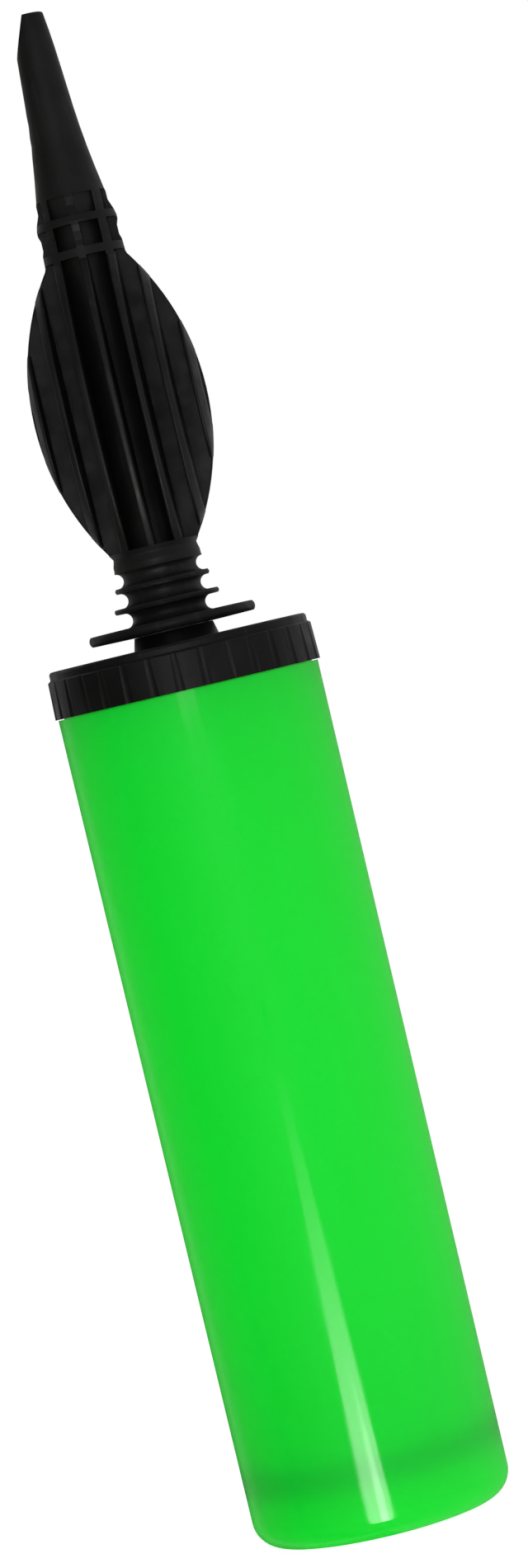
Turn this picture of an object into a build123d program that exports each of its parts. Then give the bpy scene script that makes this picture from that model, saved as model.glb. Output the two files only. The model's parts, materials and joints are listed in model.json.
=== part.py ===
from build123d import *
import os
from math import cos, pi, radians, sin

# Double-action hand pump for balloons and balls, standing on its base. Millimetres, +Z up towards the nozzle.
# The origin is the centre of the base. The grip's ribs are flat plates square to X, so its open faces look along Y.

# Overall heights
TIP_Z = 285.7
CAP_TOP = 166.9
CAP_BOTTOM = 158.1
DISC_BOTTOM = 169.5

# Barrel
BORE_R = 22.5
BARREL_FOOT_R = 24.28
BARREL_TOP_R = 24.6
CORNER_R = 5.0
WALL = BARREL_FOOT_R - BORE_R
RECESS_R = 13.0
RECESS_Z = 2.4
FLOOR_Z = 4.0
SHOULDER_Z = 157.9
NECK_R = 23.5
NECK_TOP = 164.3
THREAD_PITCH = 2.4
THREAD_HEIGHT = 0.45
THREAD_ROOT = 1.1
THREAD_CREST = 0.6
THREAD_TURNS = 1.6
THREAD_START = 159.6
THREAD_SLACK = 0.1
EMBED = 0.15
OVERLAP = 0.2

# Screw cap
CAP_R = 25.1
CAP_TAPER_R = 24.9
CAP_RIM_R = 24.35
CAP_RIM_Z = 165.0
RIM_STEP = 0.4
CAP_PLATE_Z = 165.1
FLUTES = 32
FLUTE_R = 1.5
FLUTE_DEPTH = 0.32
BOSS_R = 8.05
BOSS_TOP_R = 7.45
BOSS_TOP = DISC_BOTTOM - 0.1
SLEEVE_R = 9.6
SLEEVE_BOTTOM = 159.3
SEAL_POCKET_R = 8.15
SEAL_POCKET_TOP = 164.1
CAP_PORTS = 8
CAP_PORT_R = 1.3
CAP_PORT_PITCH_R = 13.4

# Rod and its seal
ROD_R = 6.0
ROD_BORE_R = 4.5
RUNNING_FIT = 0.1
SEAL_FIT = 0.05
ROD_SEAL_CORD_R = 1.0
ROD_SEAL_Z = 162.85
BUSH_TOP = 161.6
BUSH_BOTTOM = 158.1

# Cap valve
FLAP_IN_R = 10.0
FLAP_OUT_R = 17.0
FLAP_T = 0.7
RETAINER_BOTTOM = 162.1
RETAINER_TOP = 163.3
RETAINER_R = 17.6
RETAINER_RIM = 1.6
SPOKE_W = 1.8
SPOKES = 8

# Floor valve
FLOOR_PORTS = 6
FLOOR_PORT_R = 1.2
FLOOR_PORT_PITCH_R = 5.2
VALVE_DISC_R = 8.0
VALVE_DISC_T = 1.0
VALVE_DISC_SLACK = 0.3
PIN_R = 1.5
PIN_HEAD_R = 3.4
PIN_HEAD_T = 1.0
PIN_BARB_R = 2.1
PIN_BARB_TIP_R = 1.2
PIN_BARB_T = 1.3
VALVE_LIFT = 1.0

# Piston
PISTON_R = 22.1
ORING_CORD_R = 1.7
ORING_SQUEEZE = 0.45
ORING_Z = 13.5
ORING_FLOAT = 1.2
GROOVE_TOP = ORING_Z + ORING_CORD_R + SEAL_FIT
GROOVE_BOTTOM = GROOVE_TOP - 2 * ORING_CORD_R - ORING_FLOAT - 2 * SEAL_FIT
DRUM_R = 18.0
DRUM_WALL = 1.6
FLANGE_T = 1.6
HUB_R = 7.7
HUB_TOP = 24.7
GUSSETS = 8
GUSSET_T = 1.2
GUSSET_DROP = 2.0
HUB_FINS = 4
FIN_T = 1.2
DRUM_PORTS = 12
DRUM_PORT_R = 1.0
NOTCHES = 12
NOTCH_W = 3.0
NOTCH_DEPTH = 0.9
DISH_R = 6.5
DISH_TOP = 11.05
DISH_WALL = 1.6
LOWER_PLATE_T = 1.5
LIP_T = 1.2
LIP_HEIGHT = 0.8
SCREW_R = 1.5
SCREW_BOSS_R = 2.9
SCREW_TIP_Z = 19.7
SCREW_POINT = 2.0
SCREW_HEAD_R = 3.1
SCREW_HEAD_T = 1.4
SCREW_SLOT_W = 0.8
SCREW_SLOT_DEPTH = 0.8
WASHER_R = 5.0
WASHER_T = 0.6
CLEARANCE = 0.1
BUMPER_R = 9.0
BUMPER_T = 3.0
BUMPER_EDGE_R = 0.6

# Handle: guard disc, ringed neck, ribbed grip and nozzle, all one moulding
AIRWAY_R = 2.75
OUTLET_R = 1.25
AIRWAY_TOP = 262.7
SPIGOT_DEPTH = 14.0
DISC_R = 15.7
DISC_T = 2.0
DISC_EDGE_T = 1.8
DISC_EDGE_ROUND = 0.4
DISC_SEAT_R = 10.0
NECK_CORE_R = 6.9
RING_T = 0.9
RING_TIP = 0.2
NECK_RINGS = [(174.8, 9.92), (178.5, 8.95)]
SHOULDER_RING = (181.7, 184.1, 8.2)
GRIP_LOW = (184.4, 7.9)
GRIP_MID = (212.1, 16.4)
GRIP_HIGH = (239.3, 7.6)
RIB_PITCH = 4.95
RIBS_EACH_SIDE = 3
RIB_T = 1.1
RIB_ROOT_T = 1.9
RIB_EDGE_R = 0.35
RIB_INSET = 0.06
WEB_T = 1.6
CORE_R = 5.2
COLLAR_R = 6.4
COLLAR_TOP = 251.7
COLLAR_CORE_R = 5.95
COLLAR_RIB_T = 1.4
GRIP_POCKET = (185.3, 239.8)
COLLAR_POCKETS = [(241.35, 245.9), (247.35, 251.3)]
COLLAR_OUTLINE = [
    (7.5, 241.7),
    (7.2, 242.7),
    (7.2, 244.4),
    (7.55, 245.5),
    (7.55, 246.3),
    (7.3, 247.4),
    (6.6, 249.3),
    (6.58, 250.9),
]
NOZZLE_OUTLINE = [(5.45, 257.8), (4.72, 263.9), (4.23, 270.0), (3.65, 278.5)]
TIP_R = 2.95
TIP_ROUND = 0.45
NOZZLE_BEVEL_ANGLE = 20.5
NOZZLE_BEVEL_Z = 278.5
NOZZLE_BEVEL_X = -3.5
BIG = 60.0


def disc(radius, low, high):
    """A solid cylinder on the pump's axis between two heights."""
    return Pos(0, 0, low) * Cylinder(radius, high - low, align=(Align.CENTER, Align.CENTER, Align.MIN))


def cone(low_r, high_r, low, high):
    return Pos(0, 0, low) * Cone(low_r, high_r, high - low, align=(Align.CENTER, Align.CENTER, Align.MIN))


def tube(outer, inner, low, high):
    return disc(outer, low, high) - disc(inner, low - 1, high + 1)


def turned(*edges):
    """A solid of revolution about Z from a closed loop of edges in the XZ plane."""
    return revolve(make_face(list(edges)), Axis.Z)


def rz(radius, height):
    return (radius, 0, height)


def line(*points):
    """Straight edges through points given as (radius, height)."""
    return Polyline(*[rz(*p) for p in points]).edges()


def around(count, shape, first=0.0):
    """Copies of a shape spaced evenly about the pump's axis."""
    return [Rot(0, 0, first + 360 * i / count) * shape for i in range(count)]


def slab(size_x, size_y, low, high, x=0.0):
    """A box centred on the given X, between two heights."""
    return Pos(x, 0, low) * Box(size_x, size_y, high - low, align=(Align.CENTER, Align.CENTER, Align.MIN))


def torus(cord_r, centre_r, z):
    return Pos(0, 0, z) * Torus(centre_r, cord_r)


def thread_ridge(root_r, crest_r, start_z):
    """One helical ridge of trapezoid section, rooted slightly inside the wall that carries it."""
    sink = EMBED if crest_r > root_r else -EMBED
    path = Pos(0, 0, start_z) * Helix(THREAD_PITCH, THREAD_PITCH * THREAD_TURNS, root_r)
    half_root, half_crest = THREAD_ROOT / 2, THREAD_CREST / 2
    section = Polyline(
        rz(root_r - sink, start_z - half_root),
        rz(crest_r, start_z - half_crest),
        rz(crest_r, start_z + half_crest),
        rz(root_r - sink, start_z + half_root),
        close=True,
    )
    return sweep(make_face(section.edges()), path=path, is_frenet=True)


def barrel():
    """Closed-bottom barrel with a punted floor, so that the intake holes stay off the table."""
    flat_r = BARREL_FOOT_R - CORNER_R
    lean = cos(radians(45))
    outer_arc = ThreePointArc(
        rz(flat_r, 0),
        rz(flat_r + CORNER_R * lean, CORNER_R * (1 - lean)),
        rz(BARREL_FOOT_R, CORNER_R),
    )
    inner_r = CORNER_R - WALL
    inner_arc = ThreePointArc(
        rz(BORE_R, CORNER_R),
        rz(flat_r + inner_r * lean, CORNER_R - inner_r * lean),
        rz(flat_r, WALL),
    )
    body = turned(
        *line((0, FLOOR_Z), (0, RECESS_Z), (RECESS_R, RECESS_Z), (RECESS_R, 0), (flat_r, 0)),
        outer_arc.edge(),
        *line(
            (BARREL_FOOT_R, CORNER_R),
            (BARREL_TOP_R, SHOULDER_Z),
            (NECK_R, SHOULDER_Z),
            (NECK_R, NECK_TOP),
            (BORE_R, NECK_TOP),
            (BORE_R, CORNER_R),
        ),
        inner_arc.edge(),
        *line((flat_r, WALL), (RECESS_R + WALL, WALL), (RECESS_R + WALL, FLOOR_Z), (0, FLOOR_Z)),
    )
    port = Pos(FLOOR_PORT_PITCH_R, 0, 0) * disc(FLOOR_PORT_R, RECESS_Z - 1, FLOOR_Z + 1)
    body = body - around(FLOOR_PORTS, port) - disc(PIN_R, RECESS_Z - 1, FLOOR_Z + 1)
    return body + thread_ridge(NECK_R, NECK_R + THREAD_HEIGHT, THREAD_START)


def screw_cap():
    """Fluted cap: skirt with an inside thread, plate with intake ports, boss above and seal sleeve below."""
    skirt_r = NECK_R + THREAD_HEIGHT + THREAD_SLACK
    rim_round = (CAP_TOP - CAP_RIM_Z) / 3
    shell = turned(
        *line(
            (ROD_R + RUNNING_FIT, SEAL_POCKET_TOP),
            (ROD_R + RUNNING_FIT, BOSS_TOP),
            (BOSS_TOP_R, BOSS_TOP),
            (BOSS_R, CAP_TOP),
            (CAP_RIM_R - rim_round, CAP_TOP),
        ),
        ThreePointArc(
            rz(CAP_RIM_R - rim_round, CAP_TOP),
            rz(CAP_RIM_R - rim_round * (1 - sin(pi / 4)), CAP_TOP - rim_round * (1 - cos(pi / 4))),
            rz(CAP_RIM_R, CAP_TOP - rim_round),
        ).edge(),
        *line(
            (CAP_RIM_R, CAP_TOP - rim_round),
            (CAP_RIM_R, CAP_RIM_Z + RIM_STEP),
            (CAP_TAPER_R, CAP_RIM_Z),
            (CAP_R, CAP_BOTTOM),
            (skirt_r, CAP_BOTTOM),
            (skirt_r, CAP_PLATE_Z),
            (SLEEVE_R, CAP_PLATE_Z),
            (SLEEVE_R, SLEEVE_BOTTOM),
            (SEAL_POCKET_R, SLEEVE_BOTTOM),
            (SEAL_POCKET_R, SEAL_POCKET_TOP),
            (ROD_R + RUNNING_FIT, SEAL_POCKET_TOP),
        ),
    )
    flute = Pos(CAP_R + FLUTE_R - FLUTE_DEPTH, 0, 0) * disc(FLUTE_R, CAP_BOTTOM - 1, CAP_RIM_Z + RIM_STEP / 2)
    port = Pos(CAP_PORT_PITCH_R, 0, 0) * disc(CAP_PORT_R, CAP_PLATE_Z - 1, CAP_TOP + 1)
    shell = shell - around(FLUTES, flute) - around(CAP_PORTS, port)
    start = THREAD_START + THREAD_PITCH / 2 - THREAD_SLACK
    return shell + thread_ridge(skirt_r, NECK_R + THREAD_SLACK, start)


def cap_gasket():
    return tube(NECK_R, BORE_R, NECK_TOP, CAP_PLATE_Z)


def cap_valve_flap():
    """Loose rubber ring that shuts the cap's ports when the air above the piston is squeezed."""
    low = RETAINER_TOP + SEAL_FIT
    return tube(FLAP_OUT_R, FLAP_IN_R, low, low + FLAP_T)


def valve_retainer():
    """Spoked ring pressed on the cap's sleeve; it carries the flap and lets the air past."""
    ring = tube(RETAINER_R, SLEEVE_R, RETAINER_BOTTOM, RETAINER_TOP)
    window = tube(RETAINER_R - RETAINER_RIM, SLEEVE_R + RETAINER_RIM, RETAINER_BOTTOM - 1, RETAINER_TOP + 1)
    spoke = Pos(BIG / 2, 0, 0) * slab(BIG, SPOKE_W, RETAINER_BOTTOM, RETAINER_TOP)
    return ring - (window - around(SPOKES, spoke))


def gland_bush():
    """Flanged bush that guides the rod and holds the rod seal in its pocket."""
    flange = tube(SLEEVE_R, ROD_R + RUNNING_FIT, BUSH_BOTTOM, SLEEVE_BOTTOM)
    return flange + tube(SEAL_POCKET_R - SEAL_FIT, ROD_R + RUNNING_FIT, SLEEVE_BOTTOM, BUSH_TOP)


def rod_seal():
    return torus(ROD_SEAL_CORD_R, ROD_R + SEAL_FIT + ROD_SEAL_CORD_R, ROD_SEAL_Z)


def floor_valve_disc():
    low = FLOOR_Z + SEAL_FIT
    return tube(VALVE_DISC_R, PIN_R + VALVE_DISC_SLACK, low, low + VALVE_DISC_T)


def floor_valve_pin():
    """Headed push-in pin: the disc slides on its stem, and a barb under the floor holds it."""
    head_low = FLOOR_Z + VALVE_DISC_T + VALVE_LIFT + 2 * SEAL_FIT
    head = disc(PIN_HEAD_R, head_low, head_low + PIN_HEAD_T)
    head = fillet(head.edges().group_by(Axis.Z)[-1], PIN_HEAD_T * 0.6)
    barb = cone(PIN_BARB_TIP_R, PIN_BARB_R, RECESS_Z - PIN_BARB_T, RECESS_Z)
    return head + disc(PIN_R, RECESS_Z - OVERLAP, head_low + OVERLAP) + barb


def notch_cutters():
    notch = Pos(PISTON_R, 0, 0) * slab(2 * NOTCH_DEPTH, NOTCH_W, 0, HUB_TOP)
    return around(NOTCHES, notch)


def piston_upper():
    """Hub, upper flange and ported drum. Air crosses the drum and rises round the screw boss into the rod."""
    flange_top = GROOVE_TOP + FLANGE_T
    body = disc(PISTON_R, GROOVE_TOP, flange_top) - notch_cutters()
    body = body + tube(DRUM_R, DRUM_R - DRUM_WALL, GROOVE_BOTTOM, GROOVE_TOP + OVERLAP)
    body = body + disc(HUB_R, flange_top - OVERLAP, HUB_TOP) - disc(ROD_R, flange_top, HUB_TOP + 1)
    body = body - disc(ROD_BORE_R, GROOVE_TOP - 1, flange_top + 1)
    root_r, root_z, top_z = HUB_R - OVERLAP, flange_top - OVERLAP, HUB_TOP - GUSSET_DROP
    gusset_profile = line((root_r, root_z), (DRUM_R, root_z), (root_r, top_z), (root_r, root_z))
    gusset = extrude(make_face(gusset_profile), amount=GUSSET_T / 2, both=True)
    body = body + around(GUSSETS, gusset)
    fin_low = DISH_TOP + FLANGE_T
    fin_length = DRUM_R - DRUM_WALL / 2
    fin = Pos(fin_length / 2, 0, 0) * slab(fin_length, FIN_T, fin_low, GROOVE_TOP + OVERLAP)
    body = body + around(HUB_FINS, fin, first=45)
    body = body + disc(SCREW_BOSS_R, fin_low, SCREW_TIP_Z + 1) - disc(SCREW_R, fin_low - 1, SCREW_TIP_Z + OVERLAP)
    port_z = (GROOVE_BOTTOM + GROOVE_TOP) / 2
    port = Pos(DRUM_R - DRUM_WALL / 2, 0, port_z) * Rot(0, 90, 0) * Cylinder(DRUM_PORT_R, 3 * DRUM_WALL)
    return body - around(DRUM_PORTS, port, first=15)


def piston_lower():
    """Lower notched plate, dished in the middle so that the screw head stays above the floor valve."""
    low = GROOVE_BOTTOM - LOWER_PLATE_T
    plate = disc(PISTON_R, low, GROOVE_BOTTOM) - notch_cutters()
    plate = plate + disc(DISH_R + DISH_WALL, GROOVE_BOTTOM - OVERLAP, DISH_TOP + FLANGE_T)
    plate = plate - disc(DISH_R, low - 1, DISH_TOP)
    lip_r = DRUM_R - DRUM_WALL - CLEARANCE
    plate = plate + tube(lip_r, lip_r - LIP_T, GROOVE_BOTTOM - OVERLAP, GROOVE_BOTTOM + LIP_HEIGHT)
    return plate - disc(SCREW_R + CLEARANCE, low, DISH_TOP + FLANGE_T + 1)


def piston_oring():
    # Pressed flat against the bore
    land_r = BORE_R - SEAL_FIT
    cord = torus(ORING_CORD_R, land_r - ORING_CORD_R + ORING_SQUEEZE, ORING_Z)
    return cord & disc(land_r, ORING_Z - 2 * ORING_CORD_R, ORING_Z + 2 * ORING_CORD_R)


def piston_washer():
    return tube(WASHER_R, SCREW_R + CLEARANCE, DISH_TOP - WASHER_T, DISH_TOP)


def piston_screw():
    """Pan-head self-tapping screw, head down."""
    seat = DISH_TOP - WASHER_T
    bottom = seat - SCREW_HEAD_T
    head = disc(SCREW_HEAD_R, bottom, seat)
    head = fillet(head.edges().group_by(Axis.Z)[0], SCREW_HEAD_T / 2)
    slot = slab(SCREW_HEAD_R, SCREW_SLOT_W, bottom - 1, bottom + SCREW_SLOT_DEPTH)
    point = cone(SCREW_R, 0.2 * SCREW_R, SCREW_TIP_Z - SCREW_POINT, SCREW_TIP_Z)
    shank = disc(SCREW_R, seat - OVERLAP, SCREW_TIP_Z - SCREW_POINT)
    return head - slot - Rot(0, 0, 90) * slot + shank + point


def stroke_bumper():
    ring = tube(BUMPER_R, ROD_R, HUB_TOP, HUB_TOP + BUMPER_T)
    outer = ring.edges().filter_by(GeomType.CIRCLE).group_by(SortBy.RADIUS)[-1]
    return fillet(outer, BUMPER_EDGE_R)


def piston_rod():
    return tube(ROD_R, ROD_BORE_R, GROOVE_TOP + FLANGE_T, DISC_BOTTOM)


def scallop(low, high):
    """Concave half-round between two rings of the neck, touching the core at its deepest point."""
    depth = (high - low) / 2
    return ThreePointArc(
        rz(NECK_CORE_R + depth, low),
        rz(NECK_CORE_R, (low + high) / 2),
        rz(NECK_CORE_R + depth, high),
    ).edge()


def handle_outline():
    """Edges of the handle's outer profile, from the guard disc's underside up to the tip."""
    edges = []
    disc_top = DISC_BOTTOM + DISC_T
    edge_low = DISC_BOTTOM + (DISC_T - DISC_EDGE_T) / 2
    edge_high = edge_low + DISC_EDGE_T
    flat_r = DISC_R - DISC_EDGE_ROUND
    edges += line((0, DISC_BOTTOM), (DISC_SEAT_R, DISC_BOTTOM), (flat_r, edge_low))
    middle = (edge_low + edge_high) / 2
    edges.append(ThreePointArc(rz(flat_r, edge_low), rz(DISC_R, middle), rz(flat_r, edge_high)).edge())
    below = disc_top
    previous = (flat_r, edge_high)
    for z, tip_r in NECK_RINGS + [(SHOULDER_RING[0] + RING_T / 2, None)]:
        low = z - RING_T / 2
        root_r = NECK_CORE_R + (low - below) / 2
        edges += line(previous, (root_r, below))
        edges.append(scallop(below, low))
        if tip_r:
            high = z + RING_T / 2
            edges += line((root_r, low), (tip_r - RING_TIP, low), (tip_r, z), (tip_r - RING_TIP, high))
            previous = (tip_r - RING_TIP, high)
            below = high
    ring_low, ring_high, ring_r = SHOULDER_RING
    edges += line((root_r, ring_low), (ring_r, ring_low + 0.5), (ring_r, ring_low + 1.2), (GRIP_LOW[1], ring_high))
    edges += line((GRIP_LOW[1], ring_high), (GRIP_LOW[1], GRIP_LOW[0]))
    edges.append(
        ThreePointArc(
            rz(GRIP_LOW[1], GRIP_LOW[0]), rz(GRIP_MID[1], GRIP_MID[0]), rz(GRIP_HIGH[1], GRIP_HIGH[0])
        ).edge()
    )
    edges += line((GRIP_HIGH[1], GRIP_HIGH[0]), *COLLAR_OUTLINE, (COLLAR_R, COLLAR_TOP))
    nozzle = [(COLLAR_R, COLLAR_TOP)] + NOZZLE_OUTLINE + [(TIP_R, TIP_Z - TIP_ROUND)]
    edges.append(Spline(*[rz(*p) for p in nozzle]).edge())
    rounded = ThreePointArc(
        rz(TIP_R, TIP_Z - TIP_ROUND),
        rz(TIP_R - TIP_ROUND * (1 - sin(pi / 4)), TIP_Z - TIP_ROUND * (1 - cos(pi / 4))),
        rz(TIP_R - TIP_ROUND, TIP_Z),
    )
    edges.append(rounded.edge())
    edges += line((TIP_R - TIP_ROUND, TIP_Z), (0, TIP_Z), (0, DISC_BOTTOM))
    return edges


def grip_curve(side, inset):
    """The grip's bulging outline on the +X or -X side, a hair inside the pieces that it meets."""
    return ThreePointArc(*[rz(side * (r - inset), z) for z, r in (GRIP_LOW, GRIP_MID, GRIP_HIGH)])


def grip_envelope():
    curve = grip_curve(1, RIB_INSET)
    ends = Polyline(curve @ 1, rz(0, GRIP_HIGH[0]), rz(0, GRIP_LOW[0]), curve @ 0)
    return turned(curve.edge(), *ends.edges())


def bulging_edges(shape):
    return shape.edges().filter_by(lambda e: e.geom_type != GeomType.LINE and e.length > 2 * RIB_PITCH)


def grip_web():
    """Flat plate square to Y that spans the grip, with a rounded rim."""
    right, left = grip_curve(1, 2 * RIB_INSET), grip_curve(-1, 2 * RIB_INSET)
    outline = [right.edge(), left.edge(), Line(right @ 0, left @ 0).edge(), Line(right @ 1, left @ 1).edge()]
    web = extrude(make_face(outline), amount=WEB_T / 2, both=True, dir=(0, 1, 0))
    return fillet(bulging_edges(web), RIB_EDGE_R)


def half_rib(x, envelope):
    """One drafted rib on the grip's front, square to X: thicker where it is rooted in the web than at its tip."""
    low_z, high_z = GRIP_LOW[0], GRIP_HIGH[0]
    section = Polyline(
        (-RIB_ROOT_T / 2, -WEB_T / 4),
        (-RIB_T / 2, -GRIP_MID[1]),
        (RIB_T / 2, -GRIP_MID[1]),
        (RIB_ROOT_T / 2, -WEB_T / 4),
        close=True,
    )
    rib = Pos(x, 0, low_z) * extrude(make_face(section.edges()), amount=high_z - low_z, dir=(0, 0, 1))
    rib = rib & envelope
    return fillet(bulging_edges(rib), RIB_EDGE_R)


def grip_ribs():
    """The web across the grip and the parallel ribs that stand on both its faces."""
    pieces = [grip_web()]
    envelope = grip_envelope()
    for i in range(-RIBS_EACH_SIDE, RIBS_EACH_SIDE + 1):
        front = half_rib(i * RIB_PITCH, envelope)
        pieces += [front, mirror(front, Plane.XZ)]
    return pieces


def handle():
    """Guard disc, ringed neck, ribbed grip, collar and bevelled nozzle in one piece round the airway."""
    envelope = turned(*handle_outline())
    body = envelope
    for low, high in [GRIP_POCKET] + COLLAR_POCKETS:
        body = body - slab(BIG, BIG, low, high)
    core = disc(CORE_R, GRIP_POCKET[0] - 1, COLLAR_TOP)
    core = core + disc(COLLAR_CORE_R, COLLAR_POCKETS[1][0] - 0.5, COLLAR_POCKETS[1][1] + 0.1)
    collar_low, collar_high = GRIP_HIGH[0] - OVERLAP, COLLAR_POCKETS[1][1] + 0.05
    rib_xs = (-RIB_PITCH, 0, RIB_PITCH)
    collar_ribs = [slab(COLLAR_RIB_T, BIG, collar_low, collar_high, x=x) & envelope for x in rib_xs]
    collar_web = slab(BIG, WEB_T, collar_low, collar_high) & envelope
    body = body.fuse(core, collar_web, *collar_ribs, *grip_ribs())
    bevel_box = Box(BIG, BIG, BIG, align=(Align.MAX, Align.CENTER, Align.CENTER))
    bevel = Pos(NOZZLE_BEVEL_X, 0, NOZZLE_BEVEL_Z) * Rot(0, NOZZLE_BEVEL_ANGLE, 0) * bevel_box
    above = slab(BIG, BIG, NOZZLE_BEVEL_Z - 6, TIP_Z + 5)
    body = body - (bevel & above)
    body = body + disc(ROD_BORE_R, DISC_BOTTOM - SPIGOT_DEPTH, DISC_BOTTOM + 0.5)
    airway = disc(AIRWAY_R, DISC_BOTTOM - SPIGOT_DEPTH - 1, AIRWAY_TOP)
    return body - airway - disc(OUTLET_R, AIRWAY_TOP - 1, TIP_Z + 1)


PARTS = [
    barrel,
    screw_cap,
    cap_gasket,
    cap_valve_flap,
    valve_retainer,
    gland_bush,
    rod_seal,
    floor_valve_disc,
    floor_valve_pin,
    handle,
    piston_rod,
    piston_upper,
    piston_lower,
    piston_oring,
    piston_washer,
    piston_screw,
    stroke_bumper,
]

os.makedirs("parts", exist_ok=True)
for make in PARTS:
    export_step(make(), f"parts/{make.__name__}.step")
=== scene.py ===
import json
from math import cos, pi, radians, sin

import bpy
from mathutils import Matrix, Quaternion, Vector

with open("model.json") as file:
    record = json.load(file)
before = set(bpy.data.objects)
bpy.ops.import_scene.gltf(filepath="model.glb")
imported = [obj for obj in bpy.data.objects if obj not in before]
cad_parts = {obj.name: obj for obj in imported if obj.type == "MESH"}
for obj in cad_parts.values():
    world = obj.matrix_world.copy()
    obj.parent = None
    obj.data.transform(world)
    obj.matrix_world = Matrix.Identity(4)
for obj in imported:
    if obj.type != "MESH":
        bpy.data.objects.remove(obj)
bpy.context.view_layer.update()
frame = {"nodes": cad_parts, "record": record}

# Looks for the double-action ball pump. Metres, +Z up, base on the floor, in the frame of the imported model.

scene = bpy.context.scene
NODES = frame["nodes"]
MM = 0.001

# Camera: level with the cap's top, a metre away, aimed a little beside the pump's axis, and rolled so that
# the pump leans to the left
CAMERA_DISTANCE = 1.0
CAMERA_HEIGHT = 0.1607
CAMERA_AZIMUTH = radians(2.8)
CAMERA_ROLL = radians(13.42)
CAMERA_LENS = 124.3
SENSOR_WIDTH = 36.0
CLIP_END = 100.0
AIM_HEIGHT = 0.1378
AIM_RIGHT = 0.0096

# World: white to the camera. The soft light on the pump is stronger from behind and weaker from the left.
# What the pump mirrors is set by azimuth, in degrees to the right of the front.
BACKGROUND = 1.0
AMBIENT_FRONT = 0.28
AMBIENT_BACK = 0.70
AMBIENT_LEFT = 0.75
MIRRORED = (
    (-180, 0.10),
    (-158, 0.21),
    (-142, 0.50),
    (-122, 0.21),
    (-75, 0.03),
    (-25, 0.15),
    (35, 0.16),
    (90, 0.29),
    (125, 0.40),
    (180, 0.42),
)

# Floor: its own glow and the light it returns add up to the background's white
FLOOR_GLOW = 0.94
FLOOR_ALBEDO = 0.24
FLOOR_HALF = 30
FLOOR_Z = -0.2 * MM

# Cards in front of the pump, seen only in its reflections. The strip makes the narrow highlight down the
# barrel: it grows wider and brighter downwards. The core, a little nearer the pump, brightens its middle.
# The upper card lights the cap and the handle. An outline gives a card's left edge, right edge and height,
# from the top down. The glow rises from nothing at the dim height to all of it at the full height.
CARD_DISTANCE = 0.5
CARD_FOOT = -0.45
STRIP_OUTLINE = ((0.012, 0.036, 0.075), (-0.112, 0.088, -0.072), (-0.112, 0.088, CARD_FOOT))
STRIP_DIM_Z = 0.075
STRIP_FULL_Z = -0.055
STRIP_GLOW = 5.0
CORE_OUTLINE = ((0.010, 0.030, -0.036), (-0.012, 0.046, -0.078), (-0.012, 0.046, CARD_FOOT))
CORE_NEARER = 1 * MM
CORE_DIM_Z = 0.03
CORE_FULL_Z = -0.075
CORE_GLOW = 11.0
UPPER_OUTLINE = ((-0.05, 0.05, 0.27), (-0.07, 0.07, 0.135))
UPPER_DIM_Z = 0.135
UPPER_FULL_Z = 0.175
UPPER_GLOW = 3.6

# Soft boxes: name, azimuth and elevation in degrees, width and height, watts, tint
SOFT_BOX_DISTANCE = 1.6
SOFT_BOX_AIM = Vector((0, 0, 0.14))
SOFT_BOXES = (
    ("soft_front", 0, 12, (1.0, 1.0), 7.5, (1, 1, 1.1)),
    ("soft_right", 40, 25, (1.2, 1.6), 4.2, (1, 1, 1.25)),
)

# Colours: the dark and the light shade that the mottling runs between
CAP_BLACK = (0.0028, 0.0028, 0.0025), (0.0050, 0.0050, 0.0045)
HANDLE_BLACK = (0.0045, 0.0045, 0.0040), (0.0075, 0.0075, 0.0068)
WALL_GREEN = (0.006, 0.96, 0.070), (0.010, 0.98, 0.086)
PASSED_GREEN = (0.007, 0.96, 0.072), (0.011, 0.98, 0.088)
NATURAL = (0.66, 0.65, 0.60), (0.76, 0.75, 0.71)
NATURAL_RUBBED = (0.58, 0.57, 0.52)
BLACK_RUBBER = (0.010, 0.010, 0.010), (0.020, 0.020, 0.020)
GREY_RUBBER = (0.09, 0.09, 0.095), (0.14, 0.14, 0.145)
ZINC = (0.50, 0.50, 0.48), (0.66, 0.66, 0.64)

# Surfaces
NOISE_ROUGHNESS = 0.55
CAP_ROUGHNESS = 0.40
HANDLE_ROUGHNESS = 0.46
SCUFF_COVER = 0.35
SCUFF_LIGHTER = 2.2
SCUFF_ROUGHER = 0.08
MOULD_LINE_EDGES = (0.08 * MM, 0.22 * MM)
MOULD_LINE_HEIGHT = 0.05 * MM
RUBBED_COVER = 0.3
TALC_COVER = 0.25
TALC_LIGHTER = 2.5

# The barrel's wall: the share of its shading that is light let through. The mix weakens the coat by that
# share, so the coat's IOR is raised to keep the gloss.
WALL_PASSES = 0.66
WALL_COAT_IOR = 2.2


def add_node(tree, kind, inputs=None, **settings):
    """A new node. inputs gives each socket, by name or number, a value or another node's output."""
    node = tree.nodes.new(kind)
    for key, value in settings.items():
        setattr(node, key, value)
    for key, value in (inputs or {}).items():
        if isinstance(value, bpy.types.NodeSocket):
            tree.links.new(value, node.inputs[key])
        else:
            node.inputs[key].default_value = value
    return node


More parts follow.
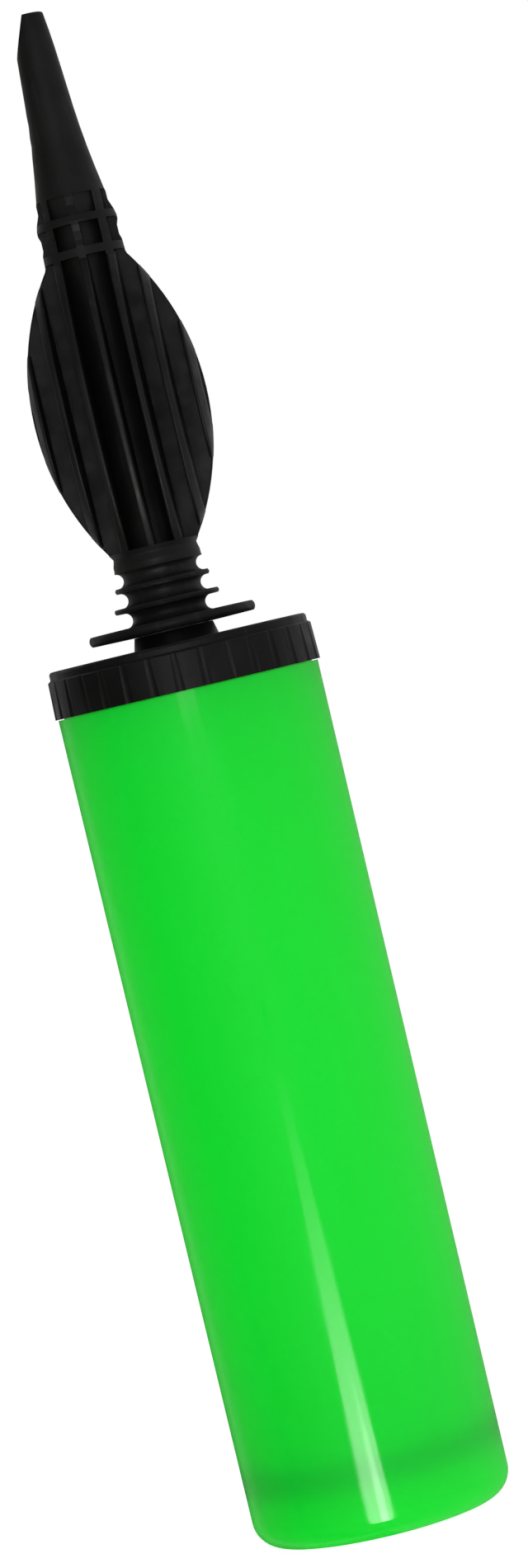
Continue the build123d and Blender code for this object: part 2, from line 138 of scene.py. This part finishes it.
class Shader:
    """A material under construction. Its methods add nodes and give back their outputs."""

    def __init__(self, name):
        self.material = bpy.data.materials.new(name)
        self.material.use_nodes = True
        self.tree = self.material.node_tree
        self.tree.nodes.clear()
        self.output = self.add("ShaderNodeOutputMaterial")
        self.coordinates = self.add("ShaderNodeTexCoord").outputs["Object"]

    def add(self, kind, inputs=None, **settings):
        """The new node itself, as add_node makes it."""
        return add_node(self.tree, kind, inputs, **settings)

    def noise(self, scale, detail=3.0, along=None):
        """Noise in the object's own space, in features per metre. along, below 1, draws it out along Z."""
        vector = self.coordinates
        if along:
            vector = self.add("ShaderNodeMapping", {"Vector": vector, "Scale": (1, 1, along)}).outputs[0]
        inputs = {"Vector": vector, "Scale": scale, "Detail": detail, "Roughness": NOISE_ROUGHNESS}
        return self.add("ShaderNodeTexNoise", inputs).outputs["Fac"]

    def ramp(self, factor, low, high, at=(0.35, 0.65)):
        """Maps a factor to a value from low to high as it crosses the range at, and clamps it."""
        inputs = {"Value": factor, "From Min": at[0], "From Max": at[1], "To Min": low, "To Max": high}
        return self.add("ShaderNodeMapRange", inputs).outputs[0]

    def mix(self, factor, first, second):
        """Mixes two colours, each given as three numbers or as an output."""
        node = self.add("ShaderNodeMix", {"Factor": factor}, data_type="RGBA")
        for key, value in (("A", first), ("B", second)):
            socket = [s for s in node.inputs if s.name == key and s.type == "RGBA"][0]
            if isinstance(value, bpy.types.NodeSocket):
                self.tree.links.new(value, socket)
            else:
                socket.default_value = (*value, 1.0)
        return [s for s in node.outputs if s.type == "RGBA"][0]

    def bump(self, height, distance, strength=1.0, normal=None):
        """A normal for relief that is distance deep, laid over another normal if one is given."""
        inputs = {"Height": height, "Distance": distance, "Strength": strength}
        if normal:
            inputs["Normal"] = normal
        return self.add("ShaderNodeBump", inputs).outputs[0]

    def math(self, operation, *values):
        """Plain arithmetic on values or outputs."""
        return self.add("ShaderNodeMath", dict(enumerate(values)), operation=operation).outputs[0]

    def mottled(self, scale, shades):
        """Cloudy colour between a dark and a light shade."""
        return self.mix(self.ramp(self.noise(scale, 4), 0, 1), *shades)

    def finish(self, shader):
        """The finished material, with this shader node on its surface."""
        self.tree.links.new(shader.outputs[0], self.output.inputs["Surface"])
        return self.material


def black_moulding(name, shades, roughness, parted=False):
    """Satin black polypropylene: mottled, grained and scuffed. If parted, it has a mould line at y = 0."""
    s = Shader(name)
    scuffs = s.ramp(s.noise(700, 3, along=0.07), 0, 1, at=(0.60, 0.66))
    scuffed = tuple(SCUFF_LIGHTER * part for part in shades[1])
    worn = s.ramp(s.noise(260, 4), roughness - 0.07, roughness + 0.08)
    normal = s.bump(s.noise(5200, 2), 0.02 * MM, 0.5)
    if parted:
        side = s.add("ShaderNodeSeparateXYZ", {0: s.coordinates}).outputs["Y"]
        line = s.ramp(s.math("ABSOLUTE", side), 1, 0, at=MOULD_LINE_EDGES)
        normal = s.bump(line, MOULD_LINE_HEIGHT, 1.0, normal)
    inputs = {
        "Base Color": s.mix(s.math("MULTIPLY", scuffs, SCUFF_COVER), s.mottled(90, shades), scuffed),
        "Roughness": s.math("ADD", worn, s.math("MULTIPLY", scuffs, SCUFF_ROUGHER)),
        "Normal": normal,
        "Specular IOR Level": 0.3,
    }
    return s.finish(s.add("ShaderNodeBsdfPrincipled", inputs))


def green_wall():
    """Glossy translucent green: the wall scatters what passes, so only what touches it shows through."""
    s = Shader("green_barrel")
    mottle = s.ramp(s.noise(45, 3, along=0.25), 0, 1)
    normal = s.bump(s.noise(120, 2, along=0.12), 0.02 * MM, 0.4)
    inputs = {
        "Base Color": s.mix(mottle, *WALL_GREEN),
        "Roughness": s.ramp(s.noise(400, 4), 0.36, 0.46),
        "Specular IOR Level": 0.3,
        "Coat Weight": 1.0,
        "Coat IOR": WALL_COAT_IOR,
        "Coat Roughness": s.ramp(s.noise(600, 4, along=0.1), 0.07, 0.12),
        "Coat Normal": s.bump(s.noise(70, 2), 0.03 * MM),
        "Normal": normal,
    }
    body = s.add("ShaderNodeBsdfPrincipled", inputs)
    through = s.add("ShaderNodeBsdfTranslucent", {"Color": s.mix(mottle, *PASSED_GREEN), "Normal": normal})
    inputs = {0: WALL_PASSES, 1: body.outputs[0], 2: through.outputs[0]}
    return s.finish(s.add("ShaderNodeMixShader", inputs))


def natural_plastic():
    """Uncoloured polypropylene, rubbed lengthways where it slides."""
    s = Shader("natural_plastic")
    rubbed = s.ramp(s.noise(900, 3, along=0.03), 0, 1, at=(0.56, 0.64))
    cover = s.math("MULTIPLY", rubbed, RUBBED_COVER)
    inputs = {
        "Base Color": s.mix(cover, s.mottled(150, NATURAL), NATURAL_RUBBED),
        "Roughness": s.ramp(s.noise(500, 3), 0.28, 0.42),
        "Normal": s.bump(s.noise(3000, 2), 0.01 * MM, 0.4, s.bump(rubbed, 0.006 * MM, 0.6)),
    }
    return s.finish(s.add("ShaderNodeBsdfPrincipled", inputs))


def rubber(name, shades):
    """Matt moulded rubber with a trace of talc."""
    s = Shader(name)
    talc = s.ramp(s.noise(1400, 5), 0, TALC_COVER, at=(0.58, 0.70))
    inputs = {
        "Base Color": s.mix(talc, s.mottled(300, shades), tuple(TALC_LIGHTER * part for part in shades[1])),
        "Roughness": s.ramp(s.noise(700, 3), 0.45, 0.65),
        "Normal": s.bump(s.noise(2500, 3), 0.02 * MM, 0.5),
    }
    return s.finish(s.add("ShaderNodeBsdfPrincipled", inputs))


def zinc_steel():
    """Bright zinc plating with a fine crystalline mottle."""
    s = Shader("zinc_steel")
    inputs = {
        "Base Color": s.mottled(900, ZINC),
        "Metallic": 1.0,
        "Roughness": s.ramp(s.noise(1800, 3), 0.25, 0.42),
        "Normal": s.bump(s.noise(4000, 2), 0.01 * MM, 0.4),
    }
    return s.finish(s.add("ShaderNodeBsdfPrincipled", inputs))


MATERIALS = {
    "green_barrel": green_wall(),
    "black_cap": black_moulding("black_cap", CAP_BLACK, CAP_ROUGHNESS),
    "black_handle": black_moulding("black_handle", HANDLE_BLACK, HANDLE_ROUGHNESS, parted=True),
    "natural_plastic": natural_plastic(),
    "black_rubber": rubber("black_rubber", BLACK_RUBBER),
    "grey_rubber": rubber("grey_rubber", GREY_RUBBER),
    "zinc_steel": zinc_steel(),
}


def dress_cad_nodes():
    """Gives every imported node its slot's material."""
    for entry in frame["record"]["subparts"]:
        for slot in NODES[entry["node"]].material_slots:
            slot.material = MATERIALS[entry["material_slot"]]


def add_camera():
    """The photograph's viewpoint."""
    data = bpy.data.cameras.new("camera")
    data.lens = CAMERA_LENS
    data.sensor_width = SENSOR_WIDTH
    data.clip_end = CLIP_END
    camera = bpy.data.objects.new("camera", data)
    scene.collection.objects.link(camera)
    right = Vector((cos(CAMERA_AZIMUTH), sin(CAMERA_AZIMUTH), 0))
    back = Vector((sin(CAMERA_AZIMUTH), -cos(CAMERA_AZIMUTH), 0))
    aim = AIM_RIGHT * right + Vector((0, 0, AIM_HEIGHT))
    camera.location = CAMERA_DISTANCE * back + Vector((0, 0, CAMERA_HEIGHT))
    look = (aim - camera.location).to_track_quat("-Z", "Y")
    camera.rotation_mode = "QUATERNION"
    camera.rotation_quaternion = look @ Quaternion((0, 0, 1), -CAMERA_ROLL)
    scene.camera = camera


def add_world():
    """White behind the pump, soft light on it, and a darker room for it to mirror."""
    world = bpy.data.worlds.new("studio")
    scene.world = world
    world.use_nodes = True
    tree = world.node_tree
    background = tree.nodes["Background"]
    background.inputs["Color"].default_value = (1, 1, 1, 1)

    def math(operation, first, second):
        return add_node(tree, "ShaderNodeMath", {0: first, 1: second}, operation=operation).outputs[0]

    def between(value, start, end, low, high):
        inputs = {"Value": value, "From Min": start, "From Max": end, "To Min": low, "To Max": high}
        return add_node(tree, "ShaderNodeMapRange", inputs).outputs[0]

    def switch(factor, first, second):
        return add_node(tree, "ShaderNodeMix", {"Factor": factor, "A": first, "B": second}).outputs[0]

    direction = add_node(tree, "ShaderNodeTexCoord").outputs["Generated"]
    axes = add_node(tree, "ShaderNodeSeparateXYZ", {0: direction}).outputs
    azimuth = math("ARCTAN2", axes["X"], math("MULTIPLY", axes["Y"], -1.0))
    levels = add_node(tree, "ShaderNodeValToRGB", {0: between(azimuth, -pi, pi, 0, 1)})
    stops = levels.color_ramp.elements
    stops.remove(stops[1])
    for degrees, level in MIRRORED:
        stop = stops.new((degrees + 180) / 360) if degrees > -180 else stops[0]
        stop.color = (level, level, level, 1)
    ambient = between(axes["Y"], -1, 1, AMBIENT_FRONT, AMBIENT_BACK)
    ambient = math("MULTIPLY", ambient, between(axes["X"], -1, 0, AMBIENT_LEFT, 1))
    rays = add_node(tree, "ShaderNodeLightPath").outputs
    reflected = math("MULTIPLY", rays["Is Glossy Ray"], math("SUBTRACT", 1.0, rays["Is Transmission Ray"]))
    around = switch(reflected, ambient, levels.outputs[0])
    strength = switch(rays["Is Camera Ray"], around, BACKGROUND)
    tree.links.new(strength, background.inputs["Strength"])


def stage_mesh(name, corners, material):
    """A flat piece of the studio, not of the pump."""
    mesh = bpy.data.meshes.new(name)
    mesh.from_pydata(corners, [], [tuple(range(len(corners)))])
    mesh.materials.append(material)
    piece = bpy.data.objects.new(name, mesh)
    scene.collection.objects.link(piece)
    return piece


def add_floor():
    """A floor as white as the background, so that only the pump's soft shadow marks it."""
    s = Shader("floor")
    diffuse = s.add("ShaderNodeBsdfDiffuse", {"Color": (FLOOR_ALBEDO,) * 3 + (1,)})
    glow = s.add("ShaderNodeEmission", {"Color": (1, 1, 1, 1), "Strength": FLOOR_GLOW})
    material = s.finish(s.add("ShaderNodeAddShader", {0: diffuse.outputs[0], 1: glow.outputs[0]}))
    corners = [(x * FLOOR_HALF, y * FLOOR_HALF, FLOOR_Z) for x, y in ((-1, -1), (1, -1), (1, 1), (-1, 1))]
    floor = stage_mesh("floor", corners, material)
    floor.visible_glossy = False


def add_card(name, outline, dim_z, full_z, glow, nearer=0):
    """An upright glowing card in front of the pump, hidden from everything but mirror reflections."""
    s = Shader(name)
    height = s.add("ShaderNodeSeparateXYZ", {0: s.coordinates}).outputs["Z"]
    rise = s.ramp(height, 0, 1, at=(dim_z, full_z))
    level = s.math("MULTIPLY", s.math("MULTIPLY", rise, rise), glow)
    material = s.finish(s.add("ShaderNodeEmission", {"Strength": level}))
    y = nearer - CARD_DISTANCE
    corners = [(right, y, z) for left, right, z in outline]
    corners += [(left, y, z) for left, right, z in reversed(outline)]
    card = stage_mesh(name, corners, material)
    card.visible_camera = False
    card.visible_diffuse = False
    card.visible_transmission = False
    card.visible_volume_scatter = False
    card.visible_shadow = False


def add_soft_box(name, azimuth, elevation, size, power, tint):
    """An area light aimed at the pump's middle, hidden from the camera and from reflections."""
    data = bpy.data.lights.new(name, "AREA")
    data.shape = "RECTANGLE"
    data.size, data.size_y = size
    data.energy = power
    data.color = tint
    light = bpy.data.objects.new(name, data)
    scene.collection.objects.link(light)
    azimuth, elevation = radians(azimuth), radians(elevation)
    direction = Vector((sin(azimuth) * cos(elevation), -cos(azimuth) * cos(elevation), sin(elevation)))
    light.location = SOFT_BOX_AIM + SOFT_BOX_DISTANCE * direction
    light.rotation_euler = (-direction).to_track_quat("-Z", "Y").to_euler()
    light.visible_camera = False
    light.visible_glossy = False


scene.view_settings.view_transform = "Standard"
dress_cad_nodes()
add_camera()
add_world()
add_floor()
add_card("strip_card", STRIP_OUTLINE, STRIP_DIM_Z, STRIP_FULL_Z, STRIP_GLOW)
add_card("core_card", CORE_OUTLINE, CORE_DIM_Z, CORE_FULL_Z, CORE_GLOW, CORE_NEARER)
add_card("upper_card", UPPER_OUTLINE, UPPER_DIM_Z, UPPER_FULL_Z, UPPER_GLOW)
for soft_box in SOFT_BOXES:
    add_soft_box(*soft_box)
